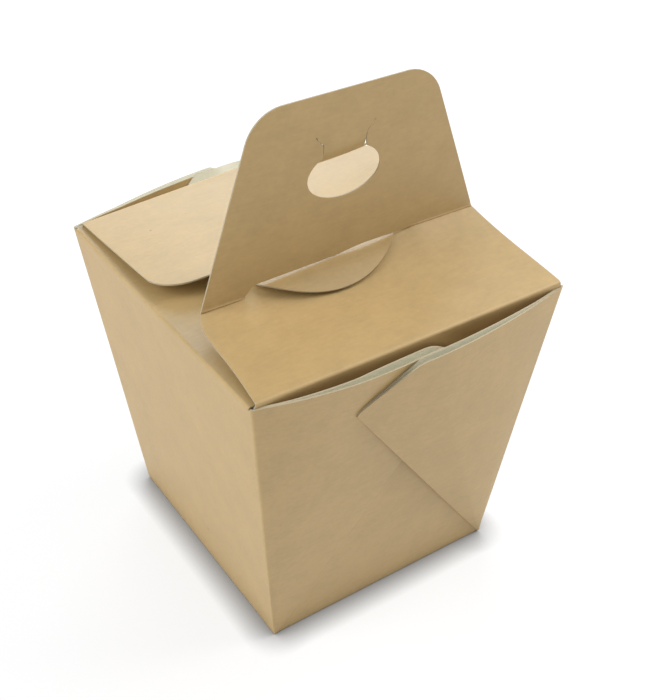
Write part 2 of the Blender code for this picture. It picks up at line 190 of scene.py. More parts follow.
@dataclass(frozen=True)
class BoardFinish:
    """The look of one face of the board."""

    name: str
    colour: tuple[float, float, float]
    mottle: float  # how much the colour varies in soft patches
    fibre: float  # how much it varies from fibre to fibre
    specks: float  # share of darkening in the bark specks, 0 for none
    fold_pale_and_shade_strength: float  # how much paler the board is along its folds, and how much painted shade darkens it where the per-point values are below 0
    roughness: float
    specular: float
    bump: float  # depth of the fibre relief

    def build(self) -> bpy.types.Material:
        """Makes the finish's node material.

        The colour is the base colour times 1 + mottle + fibre noise, darkened in sparse round
        specks, paler where the sheet's per-point fold values mark a fold, and darker where they are
        below 0: painted shade in the handle's foot crease, on the hole flap's bend and on the tongue.

        Returns:
            The material.
        """
        material = bpy.data.materials.new(self.name)
        material.use_nodes = True
        nodes = NodeBoard(material.node_tree)
        shader = material.node_tree.nodes["Principled BSDF"]
        where = nodes.add("ShaderNodeTexCoord").outputs["Object"]
        patches = nodes.noise(where, (1.0, 1.0, 1.0), 90.0, 3.0)
        cloud = nodes.noise(where, (0.6, 1.0, 0.8), 380.0, 4.0)
        fibres = nodes.noise(where, (0.16, 1.0, 1.0), 1700.0, 2.0)
        grain = nodes.noise(where, (0.8, 1.0, 1.0), 900.0, 2.0)
        strands = nodes.maths("ADD", fibres, grain)
        tone = nodes.maths("MULTIPLY_ADD", patches, self.mottle, 1.0 - self.mottle * 0.5)
        tone = nodes.maths("MULTIPLY_ADD", cloud, self.mottle * 0.8, tone)
        tone = nodes.maths("MULTIPLY_ADD", strands, self.fibre, tone)
        tone = nodes.maths("SUBTRACT", tone, self.mottle * 0.4 + self.fibre)
        # Per-point values: paler along folds, and painted shade below 0 in the handle's foot crease,
        # on the hole flap's bend and over the tongue.
        pale_fold_and_shade_values = nodes.add("ShaderNodeAttribute", attribute_name="pale_fold_and_painted_shade").outputs["Fac"]
        tone = nodes.maths("MULTIPLY_ADD", pale_fold_and_shade_values, self.fold_pale_and_shade_strength, tone)
        if self.specks:
            tone = nodes.maths("MULTIPLY", tone, self.speckled(nodes, where))
        tint = nodes.add("ShaderNodeVectorMath", operation="SCALE")
        tint.inputs[0].default_value = self.colour
        nodes.link(tone, tint.inputs["Scale"])
        nodes.link(tint.outputs[0], shader.inputs["Base Color"])
        rough = nodes.maths("MULTIPLY_ADD", cloud, 0.10, self.roughness - 0.05)
        nodes.link(rough, shader.inputs["Roughness"])
        relief = nodes.add("ShaderNodeBump")
        relief.inputs["Strength"].default_value = 0.5
        relief.inputs["Distance"].default_value = self.bump
        nodes.link(nodes.maths("ADD", strands, cloud), relief.inputs["Height"])
        nodes.link(relief.outputs[0], shader.inputs["Normal"])
        shader.inputs["Specular IOR Level"].default_value = self.specular
        return material

    def speckled(self, nodes: "NodeBoard", where: bpy.types.NodeSocket) -> bpy.types.NodeSocket:
        """Sparse bark specks: a few cells of a Voronoi pattern hold a small soft dark spot.

        Args:
            nodes: the material's node board.
            where: coordinates of the surface.

        Returns:
            A factor, 1 away from a speck.
        """
        cells = nodes.add("ShaderNodeTexVoronoi")
        cells.inputs["Scale"].default_value = 150.0
        nodes.link(where, cells.inputs["Vector"])
        near = nodes.ramp(cells.outputs["Distance"], 0.035, 0.075, falling=True)
        chosen = nodes.add("ShaderNodeSeparateColor")
        nodes.link(cells.outputs["Color"], chosen.inputs[0])
        few = nodes.ramp(chosen.outputs[0], 0.86, 0.90)
        speck = nodes.maths("MULTIPLY", near, few)
        return nodes.maths("MULTIPLY_ADD", speck, -self.specks, 1.0)


@dataclass(frozen=True)
class NodeBoard:
    """Short ways to add and link shader nodes."""

    tree: bpy.types.NodeTree

    def add(self, kind: str, **settings: object) -> bpy.types.Node:
        """Adds a node and sets its properties.

        Args:
            kind: the node's type name.
            settings: properties of the node.

        Returns:
            The node.
        """
        node = self.tree.nodes.new(kind)
        for name, value in settings.items():
            setattr(node, name, value)
        return node

    def link(self, source: bpy.types.NodeSocket, target: bpy.types.NodeSocket) -> None:
        """Links one socket to another."""
        self.tree.links.new(source, target)

    def maths(self, operation: str, *values: object) -> bpy.types.NodeSocket:
        """A Math node.

        Args:
            operation: the operation's name.
            values: its inputs in order, each a number or an output socket.

        Returns:
            The result's socket.
        """
        node = self.add("ShaderNodeMath", operation=operation)
        for socket, value in zip(node.inputs, values):
            if isinstance(value, (int, float)):
                socket.default_value = value
            else:
                self.link(value, socket)
        return node.outputs[0]

    def noise(
        self, where: bpy.types.NodeSocket, stretch: tuple[float, float, float],
        scale: float, detail: float,
    ) -> bpy.types.NodeSocket:
        """Noise that may be drawn out along an axis.

        Args:
            where: coordinates of the surface.
            stretch: scale along each axis; a small one draws the pattern out.
            scale: features per metre.
            detail: number of finer octaves.

        Returns:
            The noise's value, about 0 to 1.
        """
        mapping = self.add("ShaderNodeMapping")
        mapping.inputs["Scale"].default_value = stretch
        self.link(where, mapping.inputs["Vector"])
        texture = self.add("ShaderNodeTexNoise")
        texture.inputs["Scale"].default_value = scale
        texture.inputs["Detail"].default_value = detail
        self.link(mapping.outputs[0], texture.inputs["Vector"])
        return texture.outputs[0]

    def ramp(
        self, value: bpy.types.NodeSocket, low: float, high: float, falling: bool = False
    ) -> bpy.types.NodeSocket:
        """A smooth step between two values.

        Args:
            value: the input.
            low: where the step begins.
            high: where it ends.
            falling: whether it goes from 1 down to 0.

        Returns:
            The step's value.
        """
        node = self.add("ShaderNodeMapRange", interpolation_type="SMOOTHSTEP")
        ends = (1.0, 0.0) if falling else (0.0, 1.0)
        for name, number in zip(("From Min", "From Max", "To Min", "To Max"), (low, high, *ends)):
            node.inputs[name].default_value = number
        self.link(value, node.inputs["Value"])
        return node.outputs[0]


KRAFT = BoardFinish(
    name="kraft_face", colour=(0.500, 0.346, 0.152), mottle=0.18, fibre=0.12, specks=0.45,
    fold_pale_and_shade_strength=0.12, roughness=0.48, specular=0.5, bump=0.00002,
)
COAT = BoardFinish(
    name="coated_face", colour=(0.88, 0.86, 0.72), mottle=0.03, fibre=0.03, specks=0.0,
    fold_pale_and_shade_strength=0.03, roughness=0.42, specular=0.5, bump=0.00001,
)
CUT_EDGE = BoardFinish(
    name="cut_edge", colour=(0.47, 0.40, 0.27), mottle=0.04, fibre=0.10, specks=0.0,
    fold_pale_and_shade_strength=0.0, roughness=0.70, specular=0.3, bump=0.00003,
)


# ---------------------------------------------------------------- walls and webs


@dataclass(frozen=True)
class WebBow:
    """How one half of a corner web stands away from the end panel.

    Bows are for each metre from the base corner, because a half-web is part of a cone that
    fans out from there.
    """

    peak: float
    at_diagonal: float
    peak_degrees: float
    rise: float  # how far its edge climbs above the rim at mid-width
    fall: float = 1.8  # how the bow dies away: 1 is even, more keeps it full for longer
    flare: float = 0.0  # more lets the bow open only near the rim
    overlap: float = 0.0040  # how far it reaches past the middle of the end panel
    corner: float = 0.0045  # radius of its corner

    def at(self, angle: Array, diagonal: float) -> Array:
        """The bow at an angle from the corner edge.

        It rises as a quarter sine to its peak, and from there to the diagonal it is
        peak - (peak - at diagonal) share^fall.

        Args:
            angle: angles from the corner edge, in radians.
            diagonal: the diagonal's angle.

        Returns:
            Distances from the panel for each metre.
        """
        peak_angle = math.radians(self.peak_degrees)
        rising = self.peak * np.sin(np.clip(angle / peak_angle, 0.0, 1.0) * math.pi / 2.0)
        beyond = np.clip((angle - peak_angle) / (diagonal - peak_angle), 0.0, 1.0)
        return rising - (self.peak - self.at_diagonal) * beyond**self.fall


class End(Enum):
    """Which end of the carton a web is on: the sign of its Y."""

    FRONT = -1.0
    REAR = 1.0


class Side(Enum):
    """Which side of the carton a web is on: the sign of its X."""

    LEFT = -1.0
    RIGHT = 1.0


@dataclass(frozen=True)
class Taper:
    """The carton's tapered shape, on the board's middle surface."""

    base_x: float = 0.0395 - HALF_BOARD
    base_y: float = 0.0414 - HALF_BOARD
    top_x: float = 0.0500 - HALF_BOARD
    top_y: float = 0.0521 - HALF_BOARD
    rim: float = 0.0973

    def x_at(self, height: Array) -> Array:
        """Half width of the side panels at a height."""
        return self.base_x + (self.top_x - self.base_x) * height / self.rim

    def y_at(self, height: Array) -> Array:
        """Half depth of the end panels at a height."""
        return self.base_y + (self.top_y - self.base_y) * height / self.rim

    @property
    def lean(self) -> float:
        """Angle by which the end panels lean outwards."""
        return math.atan2(self.top_y - self.base_y, self.rim)


@dataclass(frozen=True)
class RearFold:
    """The rear lid's fold. The rear end panel bows outwards, most of all right of the middle."""

    half_x: float = 0.0475
    corner_y: float = 0.0509
    corner_z: float = 0.0982
    out: float = 0.0055
    rise: float = 0.00125
    free_y: float = 0.0521  # beyond this the bow pushes the webs out too
    radius: float = 0.0006

    def climb(self, x: Array) -> Array:
        """Share of the bow at x: 0.75(r + 1) - 1.79 max(0, r - 0.1)^2, with r = x / half width."""
        run = np.clip(x / self.half_x, -1.0, 1.0)
        return (run + 1.0) * 0.75 - 1.79 * np.maximum(0.0, run - 0.1) ** 2

    def y(self, x: Array) -> Array:
        """Y of the fold at x."""
        return self.corner_y + self.out * self.climb(x)

    def z(self, x: Array) -> Array:
        """Height of the fold at x."""
        return self.corner_z + self.rise * self.climb(x)

    def push(self, x: Array) -> Array:
        """How far the end panel's bow pushes the webs out at x."""
        return np.maximum(0.0, self.y(x) - self.free_y)


@dataclass
class Walls:
    """The four walls and the four folded corner webs, as one closed band round the carton.

    From the front end panel the band goes round anticlockwise, seen from above. At each corner it
    runs out along one half of the web, turns back round the web's diagonal fold, and comes back
    along the other half. Rows climb from the base to the rim.
    """

    taper: Taper
    lid_fold_half_x: float
    front_fold: "FrontLid"
    rear_fold: RearFold
    tip_x: float = 0.0213  # where the diagonal fold ends: distance past the middle, height
    tip_z: float = 0.0858
    corner_radius: float = 0.00055
    edge_inset: float = 0.0007  # the inner halves' fold lies this far inside the corner edge
    stack: float = 0.00028  # from one board to the next at the corner edge
    pressed: float = 0.00046  # from one board to the next at the diagonal
    settle: float = 0.08  # share of the height over which the stack opens above the base
    half_columns: int = 34
    side_columns: int = 26
    hinge_share: float = 0.996  # share of a side panel's width that its dust flap hangs on
    bows: dict[tuple[End, Side], tuple[WebBow, WebBow]] = field(default_factory=lambda: {
        (End.FRONT, Side.RIGHT): (
            WebBow(0.0687, 0.0385, 29.0, 0.0011, fall=1.0, overlap=0.0046, corner=0.0065),
            WebBow(0.0505, 0.0360, 29.0, 0.0011, fall=1.0, overlap=0.0036, corner=0.0055),
        ),
        (End.FRONT, Side.LEFT): (
            WebBow(0.0510, 0.016, 20.0, 0.0006, flare=2.0),
            WebBow(0.0300, 0.012, 17.0, -0.0001, fall=0.7, flare=2.0, overlap=0.0024, corner=0.0085),
        ),
        (End.REAR, Side.LEFT): (
            WebBow(0.084, 0.050, 27.0, 0.0014),
            WebBow(0.064, 0.044, 26.0, 0.0012),
        ),
        (End.REAR, Side.RIGHT): (
            WebBow(0.072, 0.026, 18.0, 0.0018),
            WebBow(0.019, 0.012, 29.0, -0.0004),
        ),
    })

    def __post_init__(self) -> None:
        """Spaces the rows closely near the base and near the rim."""
        low = np.array([0.008, 0.018, 0.032, 0.05, 0.075, 0.11])
        self.share = np.concatenate([low, np.linspace(0.16, 0.96, 15), [0.985, 1.0]])
        self.open = ease(self.share / self.settle)

    def half_web(self, end: End, side: Side, inner: bool) -> Array:
        """One half of a web, from its corner edge to the diagonal.

        Its free edge is a path (u, v) in the end panel's plane, u from the base corner towards
        the other side and v up the panel; a row is that path scaled towards the base corner. It
        stands away from the panel by bow times distance from the base corner.

        Args:
            end: the web's end of the carton.
            side: its side.
            inner: whether it is the half that lies against the end panel.

        Returns:
            Points of shape (rows, columns, 3), the corner edge first.
        """
        bow = self.bows[end, side][int(inner)]
        outer_bow = self.bows[end, side][0]
        top_v = self.taper.rim / math.cos(self.taper.lean)
        corner_top = (self.taper.base_x - self.taper.top_x, top_v)
        corner_mid = (self.taper.base_x + bow.overlap, top_v + bow.rise)
        tip = (self.taper.base_x + self.tip_x, self.tip_z / math.cos(self.taper.lean))
        path = rounded([corner_top, corner_mid, tip, (0.0, 0.0)], [0.0, bow.corner, 0.0005, 0.0])[:-1]
        length = np.linalg.norm(np.diff(path, axis=0), axis=1).sum()
        first = (self.edge_inset if inner else 2.2 * self.corner_radius) / length
        edge = resample(path, np.linspace(first, 1.0, self.half_columns))
        u, v = edge[:, 0], edge[:, 1]
        start = math.atan2(corner_top[0], corner_top[1])
        diagonal = math.atan2(tip[0], tip[1]) - start
        angle = np.arctan2(u, v) - start
        from_edge = ease(angle / math.radians(7.0))
        reach = np.hypot(u, v) * self.share[:, None]
        open_up = self.open[:, None]
        opened = self.share[:, None]
        outer = reach * outer_bow.at(angle, diagonal) * opened**outer_bow.flare
        outer = outer + HALF_BOARD * from_edge
        if (end is End.FRONT) == (side is Side.LEFT):
            outer = np.minimum(outer, self.cover(end, u, v))
        out = outer
        if inner:
            own = reach * bow.at(angle, diagonal) * opened**bow.flare + HALF_BOARD * from_edge
            gap = self.stack + (self.pressed - self.stack) * from_edge
            out = np.minimum(own - self.stack * (1.0 - from_edge) * open_up, outer - gap * open_up)
        u, v = u * self.share[:, None], v * self.share[:, None]
        return self.placed(end, side, u, v, out, from_edge)

    def cover(self, end: End, u: Array, v: Array) -> Array:
        """How far out an under web may stand where the over web lies on it.

        It is the over web's inner half less one board, and more beyond the over web's slanted
        edge, by a third of the distance past it.

        Args:
            end: the end of the carton.
            u: the free edge's distances from its own base corner, towards the other side.
            v: its distances up the end panel.

        Returns:
            The greatest distances from the panel, row by row.
        """
        side = Side.RIGHT if end is End.FRONT else Side.LEFT
        over = self.bows[end, side][1]
        top_v = self.taper.rim / math.cos(self.taper.lean)
        tip = np.array([self.taper.base_x + self.tip_x, self.tip_z / math.cos(self.taper.lean)])
        knee = np.array([self.taper.base_x + over.overlap, top_v + over.rise])
        start = math.atan2(self.taper.base_x - self.taper.top_x, top_v)
        u, v = 2.0 * self.taper.base_x - u * self.share[:, None], v * self.share[:, None]
        angle = np.arctan2(u, v) - start
        diagonal = math.atan2(tip[0], tip[1]) - start
        slant = (tip - knee) / np.linalg.norm(tip - knee)
        past_edge = -(u - knee[0]) * slant[1] + (v - knee[1]) * slant[0]
        past_fold = np.hypot(u, v) * np.sin(np.maximum(0.0, angle - diagonal))
        allowed = np.hypot(u, v) * over.at(angle, diagonal) - 1.1 * BOARD
        return allowed + 0.35 * np.maximum(0.0, past_edge) + 0.6 * past_fold + HALF_BOARD

    def placed(
        self, end: End, side: Side, u: Array, v: Array, out: Array, from_edge: Array
    ) -> Array:
        """Points of a web from their places in the end panel's plane.

        Args:
            end: the web's end of the carton.
            side: its side.
            u: distance from the base corner towards the other side.
            v: distance up the end panel.
            out: distance away from the end panel.
            from_edge: 0 on the corner edge, 1 away from it.

        Returns:
            Points with one more axis, of length 3.
        """
        lean = self.taper.lean
        x = side.value * (self.taper.base_x - u)
        if end is End.REAR:
            height = v * math.cos(lean) / self.taper.rim
            out = out + self.rear_fold.push(x) * height**2 * from_edge
        y = end.value * (self.taper.base_y + v * math.sin(lean) + out * math.cos(lean))
        z = v * math.cos(lean) - out * math.sin(lean)
        return np.stack([x, y, np.maximum(z, HALF_BOARD)], axis=-1)

    def nose(self, outer: Array, inner: Array) -> Array:
        """The tight bend round a web's diagonal fold: half a circle from the outer half to the inner.

        Args:
            outer: the outer half's last columns, shape (rows, columns, 3).
            inner: the inner half's, likewise.

        Returns:
            Three columns of points.
        """
        top, bottom = outer[:, -1], inner[:, -1]
        middle, across = (top + bottom) / 2.0, (top - bottom) / 2.0
        along = top - outer[:, -2]
        along = along / np.maximum(np.linalg.norm(along, axis=1, keepdims=True), 1e-9)
        reach = np.linalg.norm(across, axis=1, keepdims=True)
        turns = np.radians([50.0, 0.0, -50.0])
        columns = [middle + across * math.sin(t) + along * reach * math.cos(t) for t in turns]
        nose = np.stack(columns, axis=1)
        nose[-1] += 0.3 * (nose[-2] - nose[-1])
        return nose

    def corner(self, end: End, side: Side) -> tuple[Array, Array]:
        """A corner, from the side panel's edge to the end panel's.

        Args:
            end: the corner's end of the carton.
            side: its side.

        Returns:
            The points from the side panel to the end panel, and their paling on the folds.
        """
        outer = self.half_web(end, side, inner=False)
        inner = self.half_web(end, side, inner=True)
        height = self.share * self.taper.rim
        edge = np.stack([
            side.value * self.taper.x_at(height), end.value * self.taper.y_at(height), height,
        ], axis=-1)
        along_web = outer[:, 0] - edge
        along_web /= np.linalg.norm(along_web, axis=1, keepdims=True)
        along_side = np.broadcast_to([0.0, -end.value, 0.0], edge.shape)
        radius = self.corner_radius * np.minimum(1.0, self.share / 0.5)
        bend = turn(edge, along_side, along_web, radius, 6)
        diagonal = self.nose(outer, inner)
        points = np.concatenate([bend, outer, diagonal, inner[:, ::-1]], axis=1)
        half = self.half_columns
        pale_fold_and_painted_shade = np.concatenate([np.full(6, 0.25), np.zeros(half), np.full(3, 0.5), np.zeros(half)])
        return points, pale_fold_and_painted_shade

    def side_panel(self, side: Side) -> Array:
        """A side panel, from the front corner to the rear one, up to its dust flap's hinge.

        Args:
            side: which side.

        Returns:
            Points of shape (rows, columns, 3).
        """
        height = self.share[:, None] * self.taper.rim
        half = self.taper.y_at(height) - self.corner_radius * 2.0
        across = self.side_places()
        y = half * across
        height = height - (FOLD_RADIUS + HALF_BOARD) * self.share[:, None] ** 20
        x = side.value * self.taper.x_at(height) * np.ones_like(y)
        bulge = 0.0004 * (1.0 - across**2) * np.sin(self.share[:, None] * math.pi)
        z = height * np.ones_like(y)
        return np.stack([x - side.value * bulge, y, z], axis=-1)

    def side_places(self) -> Array:
        """Places of a side panel's columns, from -1 at the front to 1 at the rear."""
        hinge = np.linspace(-self.hinge_share, self.hinge_share, self.side_columns)
        return np.concatenate([[-1.0], hinge, [1.0]])

    def end_panel(self, end: End) -> Array:
        """An end panel, from left to right, up to the fold of its lid.

        Between the base and the fold it stands off the tapered plane: a little inwards at its
        side edges, where three boards lie on each other, and by the fold's own bow at the top.

        Args:
            end: which end.

        Returns:
            Points of shape (rows, columns, 3).
        """
        across = self.front_fold.places() / self.front_fold.crease_half_x
        front = end is End.FRONT
        half_top = self.lid_fold_half_x if front else self.rear_fold.half_x
        x_top = half_top * across
        fold = self.front_fold if front else self.rear_fold
        fold_y, fold_z = np.abs(fold.y(x_top)), fold.z(x_top) - fold.radius
        share = self.share[:, None]
        half_low = self.taper.x_at(share * self.taper.rim) - self.edge_inset * share
        x = (half_low * (1.0 - share**8) + half_top * share**8) * across
        z = share * fold_z
        beside = np.abs(across) ** 6
        stacked = -2.0 * self.stack * self.open[:, None] * (0.35 + 0.65 * beside)
        above = fold_y - self.taper.y_at(fold_z)
        bowed = share ** (6.0 if front else 2.5)
        out = stacked * (1.0 - bowed) + above * bowed
        y = end.value * (self.taper.y_at(z) + out)
        return np.stack([x, y, z], axis=-1)

    def band(self) -> Grid:
        """The whole band, closed."""
        parts: list[Array] = []
        pale_fold_and_painted_shade: list[Array] = []

        def join(points: Array, pale_fold_and_shade_values: Array | None = None) -> None:
            """Adds columns to the band, with their paling on the folds."""
            parts.append(points)
            pale_fold_and_painted_shade.append(np.zeros(points.shape[1]) if pale_fold_and_shade_values is None else pale_fold_and_shade_values)

        join(self.end_panel(End.FRONT))
        points, pale_fold_and_shade_values = self.corner(End.FRONT, Side.RIGHT)
        join(points[:, ::-1], pale_fold_and_shade_values[::-1])
        join(self.side_panel(Side.RIGHT))
        join(*self.corner(End.REAR, Side.RIGHT))
        join(self.end_panel(End.REAR)[:, ::-1])
        points, pale_fold_and_shade_values = self.corner(End.REAR, Side.LEFT)
        join(points[:, ::-1], pale_fold_and_shade_values[::-1])
        join(self.side_panel(Side.LEFT)[:, ::-1])
        join(*self.corner(End.FRONT, Side.LEFT))
        return Grid(np.concatenate(parts, axis=1), np.concatenate(pale_fold_and_painted_shade)[None], closed=True)

    def base(self) -> list[Grid]:
        """The turn under the walls' feet, and the base inside it."""
        foot = self.band().points[0]
        inset = 0.0006
        limit_x, limit_y = self.taper.base_x - inset, self.taper.base_y - inset
        under = foot.copy()
        under[:, 0] = np.clip(foot[:, 0], -limit_x, limit_x)
        under[:, 1] = np.clip(foot[:, 1], -limit_y, limit_y)
        under[:, 2] = HALF_BOARD
        low = foot.copy()
        low[:, :2] = under[:, :2] + (foot[:, :2] - under[:, :2]) * 0.75
        low[:, 2] = HALF_BOARD + (foot[:, 2] - HALF_BOARD) * 0.25
        rim = Grid(np.stack([under, low, foot]), np.array([[0.0], [1.0], [0.5]]), closed=True)
        x = np.clip(self.end_panel(End.FRONT)[0, :, 0], -limit_x, limit_x)
        y = np.clip(self.side_panel(Side.LEFT)[0, ::-1, 1], -limit_y, limit_y)
        plane = np.stack(np.broadcast_arrays(x[None], y[:, None], HALF_BOARD), axis=-1)
        return [rim, Grid(plane)]


# ---------------------------------------------------------------- dust flaps and lids

FOLD_RADIUS = 0.0005


@dataclass
class DustFlap:
    """A side dust flap, folded in from a side panel's rim and dipping towards the middle."""

    walls: Walls
    side: Side
    reach: float = 0.0492
    sag: float = 0.0016
    end_taper: float = 0.10
    rows: int = 22

    def grid(self) -> Grid:
        """The flap from its hinge inwards.

        Its height falls by sag times ease(0.9 distance / reach).

        Returns:
            The flap's grid, whose first row is the side panel's last.
        """
        panel = self.walls.side_panel(self.side)
        hinge = panel[-1, 1:-1]
        if self.side is Side.LEFT:
            hinge = hinge[::-1]
        down, inward = np.array([0.0, 0.0, -1.0]), np.array([-self.side.value, 0.0, 0.0])
        bend = turn(hinge + [0, 0, FOLD_RADIUS], down, inward, FOLD_RADIUS, 6)
        run = np.concatenate([[0.008, 0.02], np.linspace(0.0, 1.0, self.rows)[1:]])[:, None]
        last = bend[:, -1]
        x = last[:, 0] + (-self.side.value) * run * self.reach
        y = last[:, 1] * (1.0 - self.end_taper * ease(run * 1.2))
        z = last[:, 2] - self.sag * ease(run * 0.9)
        flat = np.stack([x, y, z], axis=-1)
        points = np.concatenate([hinge[None], bend.transpose(1, 0, 2)[1:], flat])
        pale_fold_and_painted_shade = np.zeros((len(points), 1))
        pale_fold_and_painted_shade[1:5] = 0.8
        return Grid(points, pale_fold_and_painted_shade)


@dataclass
class FrontLid:
    """The front lid, from its fold on the end panel back to the crease at the handle's foot."""

    fold_half_x: float = 0.0486
    fold_bulge: float = 0.0004
    fold_y: float = -0.0521 + BOARD - 0.0002
    left_z: float = 0.0987
    right_z: float = 0.0990
    crease_y: float = -0.0175
    crease_half_x: float = 0.0444
    slit_left: float = -0.0323
    slit_right: float = 0.0240
    radius: float = 0.0006  # of its fold
    rows: int = 40

    def y(self, x: Array) -> Array:
        """Y of the fold at x: a shallow outward bow."""
        return self.fold_y - self.fold_bulge * (1.0 - (x / self.fold_half_x) ** 2)

    def z(self, x: Array) -> Array:
        """Height of the fold at x."""
        return self.height(x, np.zeros_like(x))

    def height(self, x: Array, along: Array) -> Array:
        """Height of the lid at x, from its fold (along = 0) to the crease (1).

        Left edge: z0 + 2.4a + 2.0a^5 mm. Right edge: z1 + 5.3a + 3.9a^3 mm. Between them the lid
        is straight at the fold, and at the crease it stays low until it is past the slit.

        Args:
            x: places across the lid.
            along: places along it.

        Returns:
            Heights.
        """
        left = self.left_z + 0.0024 * along + 0.0020 * along**5
        right = self.right_z + 0.0053 * along + 0.0039 * along**3
        straight = (x + self.fold_half_x) / (2.0 * self.fold_half_x)
        width = self.slit_right - self.slit_left
        past_slit = np.clip((x - self.slit_left) / width, 0.0, 1.0) ** 2.2
        share = (1.0 - along**2) * straight + along**2 * past_slit
        return left + share * (right - left)

    def places(self) -> Array:
        """Places of the lid's columns at the crease, closer together round the slit's left end."""
        left, right, half = self.slit_left, self.slit_right, self.crease_half_x
        return np.concatenate([
            np.linspace(-half, left, 8), left + np.array([0.0010, 0.0020, 0.0030, 0.0038, 0.0050]),
            np.linspace(left + 0.008, right, 26)[:-1], np.linspace(right, half, 10),
        ])

    def grid(self) -> Grid:
        """The lid, whose first row is the front end panel's last."""
        across = (self.places() / self.crease_half_x + 1.0) / 2.0
        first = np.array([self.radius + 0.0002, self.radius + 0.0008]) / 0.0344
        along = np.concatenate([first, np.linspace(0.08, 1.0, self.rows)])[:, None]
        eased = 0.0018 * np.sin(np.minimum(along / 0.65, 1.0) * math.pi / 2.0)
        flared = 0.0024 * np.maximum(0.0, (along - 0.65) / 0.35) ** 3
        left_x = -self.fold_half_x + eased + flared
        right_x = self.fold_half_x - (self.fold_half_x - self.crease_half_x) * along**2
        x = left_x + (right_x - left_x) * across
        y = self.y(x) + (self.crease_y - self.y(x)) * along
        lid = np.stack([x, y, self.height(x, along)], axis=-1)
        x_fold = -self.fold_half_x + 2.0 * self.fold_half_x * across
        corner = np.stack([x_fold, self.y(x_fold), self.z(x_fold)], axis=-1)
        bend = turn(corner, np.array([0, 0, -1.0]), np.array([0, 1.0, 0]), self.radius, 9)
        points = np.concatenate([bend.transpose(1, 0, 2), lid])
        pale_fold_and_painted_shade = np.zeros((len(points), 1))
        pale_fold_and_painted_shade[3:8] = 0.5
        return Grid(points, pale_fold_and_painted_shade)

    def tab(self) -> Grid:
        """The lip of the lid that is left behind the crease, where the slit is cut above it."""
        places = self.places()
        inside = places[(places >= self.slit_left - 1e-9) & (places <= self.slit_right + 1e-9)]
        run = np.linspace(0.0, 1.0, 6)[:, None]
        share = (inside - self.slit_left) / (self.slit_right - self.slit_left)
        length = 0.0034 * np.minimum(ease(share / 0.07), 1.0) * (1.0 - share) ** 0.7
        y = self.crease_y + run * length
        z = self.height(inside, np.ones_like(inside)) + run * length * 0.42
        x = inside * np.ones_like(y)
        return Grid(np.stack([x, y, z], axis=-1))


